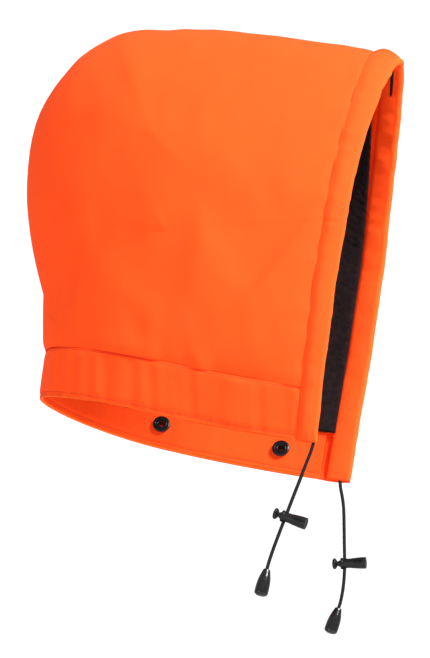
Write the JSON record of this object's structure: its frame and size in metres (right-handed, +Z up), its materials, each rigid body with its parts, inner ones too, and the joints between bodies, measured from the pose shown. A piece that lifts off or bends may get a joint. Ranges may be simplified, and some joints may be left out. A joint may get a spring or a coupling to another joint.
{
  "type": "detachable jacket hood",
  "caption": "Padded fabric jacket hood with a fleece lining, rolled face casing, neckband with press stud sockets, and a drawcord with cord locks and bell end caps",
  "frame": {"origin": "the middle of the neck opening, at the height of the neckband's lower edge half way between chin and nape", "axes": "+X is the wearer's left, +Z up; the face opening looks towards -Y"},
  "size_m": [0.1896, 0.3189, 0.5212],
  "materials": {
    "orange_polyester": "woven hi-vis polyester, slightly satin",
    "white_wadding": "matt non-woven",
    "charcoal_fleece": "short dense pile",
    "black_cord": "braided",
    "black_stud_plastic": "moulded, fine grain",
    "black_lock_plastic": "moulded, semi-matt",
    "black_cap_plastic": "moulded, glossy",
    "spring_steel": "bright drawn wire"
  },
  "bodies": {
    "hood": {"shell_right": "orange_polyester", "wadding_right": "white_wadding", "lining_right": "charcoal_fleece", "shell_left": "orange_polyester", "wadding_left": "white_wadding", "lining_left": "charcoal_fleece", "face_casing": "orange_polyester", "neckband_outer": "orange_polyester", "neckband_interlining": "white_wadding", "neckband_facing": "orange_polyester", "stud_socket_front_right": "black_stud_plastic", "stud_spring_front_right": "spring_steel", "stud_eyelet_front_right": "black_stud_plastic", "stud_socket_rear_right": "black_stud_plastic", "stud_spring_rear_right": "spring_steel", "stud_eyelet_rear_right": "black_stud_plastic", "stud_socket_centre_back": "black_stud_plastic", "stud_spring_centre_back": "spring_steel", "stud_eyelet_centre_back": "black_stud_plastic", "stud_socket_rear_left": "black_stud_plastic", "stud_spring_rear_left": "spring_steel", "stud_eyelet_rear_left": "black_stud_plastic", "stud_socket_front_left": "black_stud_plastic", "stud_spring_front_left": "spring_steel", "stud_eyelet_front_left": "black_stud_plastic", "drawcord_run": "black_cord"},
    "drawcord_right": {"drawcord_tail_right": "black_cord", "drawcord_end_right": "black_cord", "drawcord_knot_right": "black_cord", "cord_cap_bell_right": "black_cap_plastic", "cord_cap_plug_right": "black_cap_plastic"},
    "cord_lock_right": {"cord_lock_body_right": "black_lock_plastic", "cord_lock_spring_right": "spring_steel"},
    "lock_plunger_right": {"cord_lock_plunger_right": "black_lock_plastic"},
    "drawcord_left": {"drawcord_tail_left": "black_cord", "drawcord_end_left": "black_cord", "drawcord_knot_left": "black_cord", "cord_cap_bell_left": "black_cap_plastic", "cord_cap_plug_left": "black_cap_plastic"},
    "cord_lock_left": {"cord_lock_body_left": "black_lock_plastic", "cord_lock_spring_left": "spring_steel"},
    "lock_plunger_left": {"cord_lock_plunger_left": "black_lock_plastic"}
  },
  "joints": [
    {"name": "drawcord_pull_right", "type": "slide", "parent": "hood", "child": "drawcord_right", "axis": [0.1713, 0.1288, -0.9768], "range_m": [0, 0.05]},
    {"name": "cord_lock_slide_right", "type": "slide", "parent": "drawcord_right", "child": "cord_lock_right", "axis": [0, -0.3678, 0.9299], "range_m": [-0.026, 0.048]},
    {"name": "lock_plunger_right", "type": "slide", "parent": "cord_lock_right", "child": "lock_plunger_right", "axis": [0, -0.9299, -0.3678], "range_m": [0, 0.0022], "stiffness_N_per_m": 500, "springref_m": -0.004, "deforming": ["cord_lock_spring_right"]},
    {"name": "drawcord_pull_left", "type": "slide", "parent": "hood", "child": "drawcord_left", "axis": [-0.1667, 0.1287, -0.9776], "range_m": [0, 0.05]},
    {"name": "cord_lock_slide_left", "type": "slide", "parent": "drawcord_left", "child": "cord_lock_left", "axis": [0, 0, 1], "range_m": [-0.008, 0.044]},
    {"name": "lock_plunger_left", "type": "slide", "parent": "cord_lock_left", "child": "lock_plunger_left", "axis": [0, -0.9999, -0.0137], "range_m": [0, 0.0022], "stiffness_N_per_m": 500, "springref_m": -0.004, "deforming": ["cord_lock_spring_left"]}
  ]
}
